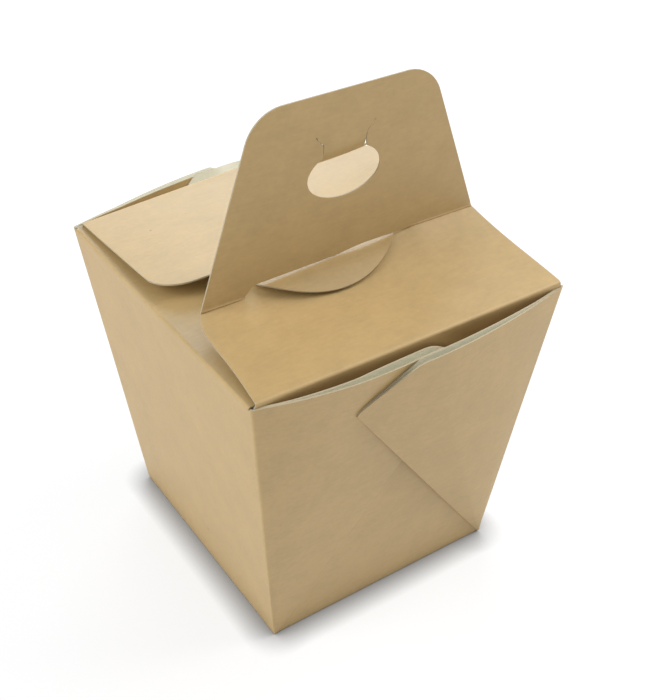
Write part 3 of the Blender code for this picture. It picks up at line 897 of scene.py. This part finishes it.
@dataclass
class Handle:
    """The upright handle: a plate between the outline of its finger hole and its own outline."""

    lid: FrontLid
    top_half_x: float = 0.0270
    top_left_z: float = 0.1538
    top_right_z: float = 0.1545
    corner: float = 0.0115
    hole_x: float = -0.0005
    hole_z: float = 0.1315
    hole_half_x: float = 0.0114
    hole_half_z: float = 0.0068
    hole_tilt: float = math.radians(1.5)
    neck_angle: float = math.radians(40.0)
    side_angle: float = math.radians(115.0)  # the oval below it faces the plate's foot
    slit_left: float = -0.0071
    slit_right: float = 0.0064
    root_z: float = 0.1405  # where the neck leaves the plate
    slit_width: float = 0.00020
    left_curl: tuple[float, float] = (-0.0012, 0.0006)  # the slits' curled ends, from the root
    right_curl: tuple[float, float] = (0.0019, 0.0021)
    root_columns: int = 15
    rows: int = 26

    def foot(self) -> Array:
        """The foot's outline, (x, z): the creases, and between them the slit's cut edge."""
        places = self.lid.places()
        crease = self.lid.height(places, np.ones_like(places))
        left, right = self.lid.slit_left, self.lid.slit_right
        marks = np.array([left, left + 0.0038, -0.0030, 0.0055, right])
        heights = np.array([crease[places <= left + 1e-9][-1], 0.1065, 0.1072, 0.1082, 0.1082])
        cut = np.interp(places, marks, heights)
        inside = (places > left + 1e-9) & (places < right - 1e-9)
        return np.stack([places, np.where(inside, cut, crease)], axis=-1)

    def outline(self, count: int) -> Array:
        """The rest of the outline, from the foot's right end round the top to its left end.

        Args:
            count: number of points.

        Returns:
            Points (x, z), without the two ends of the foot.
        """
        foot = self.foot()
        right, left = tuple(foot[-1]), tuple(foot[0])
        top = [(self.top_half_x, self.top_right_z), (-self.top_half_x, self.top_left_z)]
        path = rounded([right, *top, left], [0.0, self.corner, self.corner, 0.0], 16)
        return resample(path, np.linspace(0.0, 1.0, count + 2))[1:-1]

    def oval(self, angle: Array) -> Array:
        """Points of the finger hole's oval; angles are counted clockwise from its top."""
        x, z = self.hole_half_x * np.sin(angle), self.hole_half_z * np.cos(angle)
        c, s = math.cos(self.hole_tilt), math.sin(self.hole_tilt)
        return np.stack([self.hole_x + x * c - z * s, self.hole_z + x * s + z * c], axis=-1)

    def hole(self, bottom: int, top: int) -> Array:
        """The hole with its two slits and the neck's root as one closed outline.

        Args:
            bottom: number of points round the oval's open part, from left to right.
            top: number of points from its right end over the neck's root to its left end.

        Returns:
            Points (x, z), anticlockwise from the left end of the oval's open part.
        """
        lower = self.oval(np.linspace(2.0 * math.pi - self.side_angle, self.side_angle, bottom))
        climb = np.linspace(self.side_angle, self.neck_angle, 24)
        sides = top - self.root_columns
        right = self.slit(self.slit_right, self.right_curl, self.oval(climb), sides - sides // 2)
        left = self.slit(self.slit_left, self.left_curl, self.oval(-climb), sides // 2)
        return np.concatenate([lower, right, self.root(), left[::-1]])

    def root(self) -> Array:
        """The neck's root as points (x, z), from right to left."""
        ends = (self.slit_right - self.slit_width, self.slit_left + self.slit_width)
        x = np.linspace(*ends, self.root_columns)
        return np.stack([x, np.full_like(x, self.root_z)], axis=-1)

    def slit(self, x: float, curl: tuple[float, float], start: Array, count: int) -> Array:
        """One side: up the oval and the slit, out along its curled end, and back to the root.

        Args:
            x: the slit's outer edge.
            curl: where its curled end lies, from the slit at the height of the root.
            start: the points of the oval up to the slit's foot.
            count: number of points.

        Returns:
            Points (x, z), without the start and the root's first point.
        """
        out = math.copysign(1.0, curl[0])
        share = np.linspace(0.0, 1.0, 9)[1:, None]
        edge, bend = np.array([x, self.root_z - 0.0001]), np.array([x, self.root_z + curl[1] / 2])
        tip = np.array([x, self.root_z]) + np.array(curl)
        outer = (1 - share) ** 2 * edge + 2 * share * (1 - share) * bend + share**2 * tip
        above = outer[outer[:, 1] > self.root_z][-2::-1]
        width = np.linspace(0.1, 0.6, len(above))[:, None] * self.slit_width
        inner = above + width * np.array([-out * 0.7, 0.7])
        end = np.array([[x - out * self.slit_width, self.root_z]])
        foot = np.array([[x, start[-1, 1] + 0.0009]])
        path = np.concatenate([start, foot, edge[None], outer, inner, end])
        return resample(path, np.linspace(0.0, 1.0, count + 2))[1:-1]

    def grid(self) -> Grid:
        """The plate, as rings from the hole's outline out to the handle's.

        Returns:
            The plate's closed grid, whose outer ring holds the foot.
        """
        foot = self.foot()
        rest = self.outline(150)
        outer = np.concatenate([foot, rest])
        hole = self.hole(len(foot), len(rest))
        near_foot = [0.952, 0.963, 0.973, 0.981, 0.988, 0.994, 1.0]
        share = np.concatenate([np.linspace(0.0, 0.94, self.rows), near_foot])
        share = share[::-1, None, None]
        flat = hole + (outer - hole) * share
        x, z = flat[..., 0], flat[..., 1]
        y = self.lid.crease_y + self.sway(x, z)
        pale_fold_and_painted_shade = np.zeros(flat.shape[:2])
        on_crease = (foot[:, 0] <= self.lid.slit_left) | (foot[:, 0] >= self.lid.slit_right)
        # Painted shade: the rings right at the foot's creases are darkened, and the three above them
        # are drawn paler, beside a slight bead in the board.
        crease_shade_then_pale = np.array([[-1.2], [-0.9], [0.3], [1.0], [0.6], [0.0]])
        bead = np.array([[0.0], [0.00008], [-0.00006], [-0.00016], [-0.00010], [0.0]])
        pale_fold_and_painted_shade[:6, : len(foot)] = crease_shade_then_pale * on_crease
        y[:6, : len(foot)] += bead * on_crease
        return Grid(np.stack([x, y, z], axis=-1), pale_fold_and_painted_shade, closed=True)

    def sway(self, x: Array, z: Array) -> Array:
        """How far the plate stands off its plane: a very shallow twist that dies out at its foot."""
        up = np.clip((z - 0.1082) / 0.045, 0.0, 1.0)
        return 0.0005 * up**2 * (x / self.crease_reach)

    @property
    def crease_reach(self) -> float:
        """Half length of the crease."""
        return self.lid.crease_half_x


@dataclass
class HoleFlap:
    """The oval pushed out of the finger hole: a neck between two slits, bent back to a flap."""

    handle: Handle
    swing: float = math.radians(86.0)
    bend_from: float = 0.0003  # distance below the root at which the bend starts
    bend_skew: float = 0.00065  # how much sooner it starts on the right
    bend: float = 0.0092  # length of the bend
    rows: int = 40

    def grid(self) -> Grid:
        """The neck and the flap.

        The board's direction turns back by swing times ease((s - start) / length), with s the
        distance from the neck's root; its place is the sum of the steps in that direction.

        Returns:
            The flap's grid, from its free end to the neck's root.
        """
        handle = self.handle
        root = handle.root()[::-1, 0]
        tip = handle.oval(np.array([math.pi]))[0]
        chord = handle.oval(np.array([handle.neck_angle]))[0, 1]
        length = handle.root_z - tip[1]
        travelled = np.linspace(0.0, length, self.rows)[:, None]
        flat_z = handle.root_z - travelled
        rise = np.clip((flat_z - handle.hole_z) / handle.hole_half_z, -1.0, 1.0)
        oval_half = np.maximum(handle.hole_half_x * np.sqrt(1.0 - rise**2) - 0.0002, 0.0006)
        middle, neck_half = (root[0] + root[-1]) / 2.0, (root[-1] - root[0]) / 2.0
        spread = ease((chord - flat_z) / 0.0014)
        half = neck_half + (oval_half - neck_half) * spread
        x = middle + (handle.hole_x - middle) * spread + (root - middle) / neck_half * half
        place = (root - middle) / neck_half
        start = self.bend_from - self.bend_skew * place - 0.0003 * (place**2 - 0.5)
        turned = ease((travelled - start) / self.bend)
        angle = self.swing * turned
        step = length / (self.rows - 1)
        back, down = np.sin(angle) * step, np.cos(angle) * step
        y = np.cumsum(back, axis=0) - back[:1]
        z = handle.root_z - (np.cumsum(down, axis=0) - down[:1])
        y = handle.lid.crease_y + handle.sway(x, z) + y
        points = np.stack(np.broadcast_arrays(x, y, z), axis=-1)
        # Painted shade: the middle of the bend is darkened, where the board turns to face downwards.
        return Grid(points[::-1], (turned * (1.0 - turned) * -1.2)[::-1])


@dataclass
class RearLid:
    """The rear lid and the tongue that passes through the slit and lies on the front lid."""

    fold: RearFold
    front: FrontLid
    slope: float = 0.0553
    lift: float = 0.0027
    tilt: float = 0.0453
    half_x: float = 0.0469
    free_y: float = -0.0009
    corner: float = 0.0100
    neck_x: float = -0.0049
    neck_half_x: float = 0.0216
    neck_fillet: float = 0.0050
    tongue_depth: float = 0.0096
    tongue_clear: float = 0.0008
    warp: float = 0.0032  # how far its free right-hand side has sprung up
    warp_from: float = 0.010
    rows: int = 110

    def height(self, x: Array, y: Array) -> Array:
        """Height of the lid: it tilts up to the right and curls up towards the slit.

        Args:
            x: places across the lid.
            y: places along it.

        Returns:
            Heights.
        """
        run = np.maximum(0.0, self.fold.corner_y - y)
        reach = self.fold.corner_y - self.front.crease_y
        climb = self.slope * run + self.lift * (run / reach) ** 5
        tilted = self.fold.corner_z + self.tilt * (x + self.fold.half_x)
        share = ease(run / 0.03)
        side = np.maximum(0.0, x - self.warp_from) / (self.half_x - self.warp_from)
        sprung = self.warp * side**2 * ease(run / 0.014)
        return self.fold.z(x) * (1.0 - share) + tilted * share + climb + sprung

    def tongue_height(self, x: Array, y: Array) -> Array:
        """Height of the tongue: it leaves the slit and settles just above the front lid.

        Args:
            x: places across the tongue.
            y: places along it.

        Returns:
            Heights.
        """
        crease_y = self.front.crease_y
        along = np.clip((y - self.front.fold_y) / (crease_y - self.front.fold_y), 0.0, 1.0)
        resting = self.front.height(x, along) + BOARD + self.tongue_clear
        at_slit = self.height(x, np.full_like(y, crease_y))
        run = np.maximum(0.0, crease_y - y)
        share = np.minimum(1.0, (np.sqrt(run**2 + 0.0012**2) - 0.0012) / (self.tongue_depth - 0.0012))
        return at_slit + share * (resting - at_slit)

    def edge(self, side: Side) -> Array:
        """One long edge, from the fold round the lid's corner and the neck to the tongue's tip.

        Args:
            side: which of the two edges.

        Returns:
            Points (x, y).
        """
        sign = side.value
        neck = self.neck_x + sign * self.neck_half_x
        corners = [
            (sign * self.fold.half_x, 0.0530), (sign * self.half_x, self.free_y),
            (neck + sign * 0.002, self.free_y - 0.0006), (neck, self.front.crease_y),
        ]
        path = rounded(corners, [0.0, self.corner, self.neck_fillet, 0.0])
        radius = self.neck_half_x**2 / (2.0 * self.tongue_depth) + self.tongue_depth / 2.0
        centre_y = self.front.crease_y - self.tongue_depth + radius
        widest = math.asin(self.neck_half_x / radius)
        angle = widest * np.linspace(1.0, 0.02, 26)[1:]
        arc = np.stack([
            self.neck_x + sign * radius * np.sin(angle), centre_y - radius * np.cos(angle),
        ], axis=-1)
        return np.concatenate([path, arc])

    def grid(self) -> Grid:
        """The lid and its tongue, whose first row is the rear end panel's last.

        Returns:
            The grid, from right to left.
        """
        places = np.linspace(0.0, 1.0, self.rows)
        left = resample(self.edge(Side.LEFT), places)[:, None, :]
        right = resample(self.edge(Side.RIGHT), places)[:, None, :]
        across = (self.front.places() / self.front.crease_half_x + 1.0)[None, :, None] / 2.0
        flat = left + (right - left) * across
        x, y = flat[..., 0], flat[..., 1]
        fold_y = self.fold.y(x)
        y = y + (fold_y - y[:1]) * np.clip((y + 0.002) / 0.055, 0.0, 1.0)
        lid_z, tongue_z = self.height(x, y), self.tongue_height(x, y)
        lid = np.stack([x, y, np.where(y > self.front.crease_y, lid_z, tongue_z)], axis=-1)
        corner = lid[0]
        radius = self.fold.radius
        bend = turn(corner, np.array([0, 0, -1.0]), np.array([0, -1.0, 0]), radius, 6)
        keep = lid[(lid[:, :, 1].min(axis=1) < corner[:, 1].min() - radius)]
        points = np.concatenate([bend.transpose(1, 0, 2), keep])[:, ::-1]
        pale_fold_and_painted_shade = np.zeros((len(points), 1))
        # The rear fold's rows are drawn paler; past the crease the tongue is darkened with painted
        # shade, standing for the handle's shade on it.
        pale_fold_and_painted_shade[:6] = 1.0
        pale_fold_and_painted_shade = pale_fold_and_painted_shade - 1.2 * ease((self.front.crease_y - points[:, :, 1]) / 0.003)
        return Grid(points, pale_fold_and_painted_shade)


# ---------------------------------------------------------------- assembly


@dataclass
class Blank:
    """The folded blank: all panels welded along their folds and given the board's thickness."""

    name: str
    centre: Vector
    grids: list[Grid]
    weld: float = 0.000002

    def sheet(self) -> bpy.types.Mesh:
        """The middle surface as one mesh, with its fold paling and painted shade stored on its
        points.
        """
        points = np.concatenate([grid.points.reshape(-1, 3) for grid in self.grids])
        points = points + np.array(self.centre)
        pale_fold_and_painted_shade = np.concatenate([grid.pale_fold_and_shade_values() for grid in self.grids])
        firsts = np.cumsum([0] + [grid.points[..., 0].size for grid in self.grids])
        faces = np.concatenate([grid.faces(first) for grid, first in zip(self.grids, firsts)])
        mesh = bpy.data.meshes.new(self.name)
        mesh.from_pydata(points.tolist(), [], faces.tolist())
        mesh.attributes.new("pale_fold_and_painted_shade", "FLOAT", "POINT").data.foreach_set("value", pale_fold_and_painted_shade)
        work = bmesh.new()
        work.from_mesh(mesh)
        bmesh.ops.remove_doubles(work, verts=work.verts, dist=self.weld)
        bmesh.ops.dissolve_degenerate(work, dist=self.weld, edges=work.edges)
        work.to_mesh(mesh)
        work.free()
        return mesh

    def build(self, finishes: list[bpy.types.Material]) -> bpy.types.Object:
        """Gives the sheet its thickness and finishes.

        Args:
            finishes: the outer face, the inner face and the cut edges, in that order.

        Returns:
            The finished piece.
        """
        sheet = self.sheet()
        for finish in finishes:
            sheet.materials.append(finish)
        draft = bpy.data.objects.new(self.name + "_sheet", sheet)
        bpy.context.scene.collection.objects.link(draft)
        thick = draft.modifiers.new("board", "SOLIDIFY")
        thick.thickness = BOARD
        thick.offset = 0.0
        thick.material_offset = 1
        thick.material_offset_rim = 2
        bpy.context.view_layer.update()
        graph = bpy.context.evaluated_depsgraph_get()
        mesh = bpy.data.meshes.new_from_object(draft.evaluated_get(graph))
        bpy.data.objects.remove(draft, do_unlink=True)
        mesh.shade_smooth()
        mesh.set_sharp_from_angle(angle=math.radians(38.0))
        piece = bpy.data.objects.new(self.name, mesh)
        bpy.context.scene.collection.objects.link(piece)
        return piece


def base_centre(node: bpy.types.Object) -> Vector:
    """The middle of the carton's base, from the CAD node's lowest points.

    Args:
        node: the carton's CAD node.

    Returns:
        The middle of the base, with z = 0.
    """
    points = np.empty(len(node.data.vertices) * 3)
    node.data.vertices.foreach_get("co", points)
    points = points.reshape(-1, 3)
    foot = points[points[:, 2] < points[:, 2].min() + 0.00005]
    middle = (foot.min(axis=0) + foot.max(axis=0)) / 2.0
    return Vector((float(middle[0]), float(middle[1]), 0.0))


# ---------------------------------------------------------------- studio


@dataclass(frozen=True)
class SoftBox:
    """A large soft light that points at the carton."""

    name: str
    azimuth: float  # degrees round from the front, towards the right
    elevation: float
    distance: float
    size: float
    watts: float
    colour: tuple[float, float, float] = (1.0, 1.0, 1.0)

    def build(self, aim: Vector) -> bpy.types.Object:
        """Makes the light.

        Args:
            aim: the point that it faces.

        Returns:
            The light's object.
        """
        light = bpy.data.lights.new(self.name, "AREA")
        light.shape = "DISK"
        light.size = self.size
        light.energy = self.watts
        light.color = self.colour
        holder = bpy.data.objects.new(self.name, light)
        bpy.context.scene.collection.objects.link(holder)
        turn_by, up = math.radians(self.azimuth), math.radians(self.elevation)
        away = Vector((
            math.sin(turn_by) * math.cos(up), -math.cos(turn_by) * math.cos(up), math.sin(up),
        ))
        holder.location = aim + away * self.distance
        holder.rotation_euler = away.to_track_quat("Z", "Y").to_euler()
        return holder


@dataclass(frozen=True)
class Studio:
    """A pale floor, an even white sky, soft lights and the camera."""

    centre: Vector
    sky: float = 0.35
    floor_glow: float = 0.74
    lens: float = 56.83
    azimuth: float = -34.03
    elevation: float = 35.89
    roll: float = 0.51
    place: tuple[float, float, float] = (-0.1482, -0.22891, 0.2611)
    lights: tuple[SoftBox, ...] = (
        SoftBox("back_light", 150.0, 28.0, 1.3, 0.9, 7.4, (0.86, 0.98, 1.10)),
        SoftBox("top_light", 20.0, 80.0, 1.3, 0.9, 2.0, (0.92, 1.02, 1.16)),
        SoftBox("left_light", -100.0, 35.0, 1.3, 0.9, 9.2),
        SoftBox("right_light", 75.0, 40.0, 1.3, 0.9, 11.0, (1.02, 0.99, 0.94)),
    )

    def floor(self) -> bpy.types.Object:
        """A wide pale floor that glows evenly, with a painted contact shadow: its glow is dimmed by
        ambient occlusion close round the carton's foot.
        """
        half = 6.0
        corners = np.array([(-1, -1, 0), (1, -1, 0), (1, 1, 0), (-1, 1, 0)]) * half
        mesh = bpy.data.meshes.new("floor")
        mesh.from_pydata((corners - [0, 0, 0.00002]).tolist(), [], [(0, 1, 2, 3)])
        material = bpy.data.materials.new("floor_white")
        material.use_nodes = True
        nodes = NodeBoard(material.node_tree)
        shader = material.node_tree.nodes["Principled BSDF"]
        shader.inputs["Base Color"].default_value = (0.25, 0.25, 0.25, 1.0)
        shader.inputs["Roughness"].default_value = 0.9
        # Painted contact shadow: the floor's glow is cut by ambient occlusion near the carton.
        near = nodes.add("ShaderNodeAmbientOcclusion", samples=16)
        near.inputs["Distance"].default_value = 0.009
        glow_with_contact_shadow = nodes.maths("POWER", near.outputs["AO"], 2.2)
        glow_with_contact_shadow = nodes.maths("MULTIPLY", glow_with_contact_shadow, self.floor_glow)
        nodes.link(glow_with_contact_shadow, shader.inputs["Emission Strength"])
        shader.inputs["Emission Color"].default_value = (1.0, 1.0, 1.0, 1.0)
        mesh.materials.append(material)
        floor = bpy.data.objects.new("floor", mesh)
        bpy.context.scene.collection.objects.link(floor)
        return floor

    def world(self) -> None:
        """An even white sky."""
        world = bpy.data.worlds.new("sky")
        bpy.context.scene.world = world
        world.use_nodes = True
        background = world.node_tree.nodes["Background"]
        background.inputs["Color"].default_value = (1.0, 1.0, 1.0, 1.0)
        background.inputs["Strength"].default_value = self.sky

    def camera(self) -> bpy.types.Object:
        """The camera, turned by its azimuth, elevation and roll."""
        azimuth, up = math.radians(self.azimuth), math.radians(self.elevation)
        back = Vector((
            math.sin(azimuth) * math.cos(up), -math.cos(azimuth) * math.cos(up), math.sin(up),
        ))
        right = Vector((math.cos(azimuth), math.sin(azimuth), 0.0))
        above = back.cross(right)
        roll = math.radians(self.roll)
        right, above = (
            right * math.cos(roll) + above * math.sin(roll),
            above * math.cos(roll) - right * math.sin(roll),
        )
        camera = bpy.data.cameras.new("camera")
        camera.lens = self.lens
        camera.clip_start = 0.01
        holder = bpy.data.objects.new("camera", camera)
        bpy.context.scene.collection.objects.link(holder)
        turned = Matrix((right, above, back)).transposed().to_4x4()
        holder.matrix_world = Matrix.Translation(Vector(self.place) + self.centre) @ turned
        bpy.context.scene.camera = holder
        return holder

    def build(self) -> None:
        """Sets up the whole studio."""
        self.camera()
        self.floor()
        self.world()
        for light in self.lights:
            light.build(self.centre + Vector((0.0, 0.0, 0.08)))
        bpy.context.scene.view_settings.view_transform = "Standard"


def main() -> None:
    """Loads the frame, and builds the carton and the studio."""
    logging.basicConfig(level=logging.INFO, format="%(name)s: %(message)s")
    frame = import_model()
    centre = base_centre(frame["nodes"]["noodle_box"])
    front_lid = FrontLid()
    rear_fold = RearFold()
    walls = Walls(Taper(), front_lid.fold_half_x, front_lid, rear_fold)
    handle = Handle(front_lid)
    rear_lid = RearLid(rear_fold, front_lid)
    grids = [
        walls.band(), *walls.base(),
        DustFlap(walls, Side.LEFT).grid(), DustFlap(walls, Side.RIGHT).grid(),
        front_lid.grid(), front_lid.tab(), handle.grid(), HoleFlap(handle).grid(),
        rear_lid.grid(),
    ]
    finishes = [finish.build() for finish in (KRAFT, COAT, CUT_EDGE)]
    piece = Blank("folded_blank", centre, grids).build(finishes)
    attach(piece, "root")
    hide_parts("noodle_box")
    log.info("%s: %d faces", piece.name, len(piece.data.polygons))
    Studio(centre).build()


if __name__ == "__main__":
    main()
